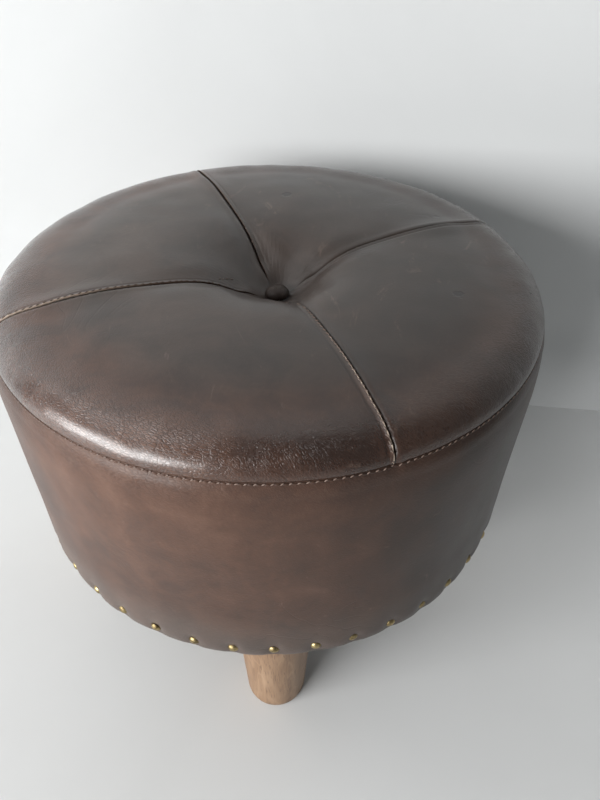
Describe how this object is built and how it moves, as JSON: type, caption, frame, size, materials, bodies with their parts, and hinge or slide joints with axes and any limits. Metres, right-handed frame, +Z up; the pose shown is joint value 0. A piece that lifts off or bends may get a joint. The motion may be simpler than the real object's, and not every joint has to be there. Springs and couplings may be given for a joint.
{
  "type": "round leather footstool",
  "caption": "Round padded leather footstool with a buttoned quartered top, a band side edged with brass nails, and turned wooden legs.",
  "frame": {"origin": "on the floor, under the middle of the drum", "axes": "+Z up, -Y towards the front leg, +X to the right of someone facing the front"},
  "size_m": [0.3156, 0.3156, 0.2638],
  "materials": {
    "leather": "dark brown, semi-gloss, fine pebble grain",
    "leg_wood": "light brown, oiled satin",
    "frame_wood": "bare plywood and softwood",
    "hardboard": "bare hardboard",
    "foam": "open-cell foam",
    "wadding": "loose polyester fibre",
    "brass": "antique brass, slightly tarnished",
    "steel": "zinc plated",
    "twine": "waxed twine",
    "lining": "black woven dust cloth"
  },
  "bodies": {
    "root": {"base_board": "frame_wood", "brass_nails": "brass", "button_core": "steel", "button_cover": "leather", "button_twine": "twine", "drum_wall": "hardboard", "dust_cover": "lining", "hanger_bolt_back": "steel", "hanger_bolt_front": "steel", "hanger_bolt_left": "steel", "hanger_bolt_right": "steel", "leg_back": "leg_wood", "leg_front": "leg_wood", "leg_left": "leg_wood", "leg_right": "leg_wood", "post_1": "frame_wood", "post_2": "frame_wood", "post_3": "frame_wood", "post_4": "frame_wood", "post_screw_high_1": "steel", "post_screw_high_2": "steel", "post_screw_high_3": "steel", "post_screw_high_4": "steel", "post_screw_low_1": "steel", "post_screw_low_2": "steel", "post_screw_low_3": "steel", "post_screw_low_4": "steel", "seat_foam": "foam", "seat_panel_back": "leather", "seat_panel_front": "leather", "seat_panel_left": "leather", "seat_panel_right": "leather", "seat_wadding": "wadding", "side_band": "leather", "side_wadding": "wadding", "tee_nut_back": "steel", "tee_nut_front": "steel", "tee_nut_left": "steel", "tee_nut_right": "steel", "top_board": "frame_wood", "twine_washer": "frame_wood"}
  },
  "joints": []
}
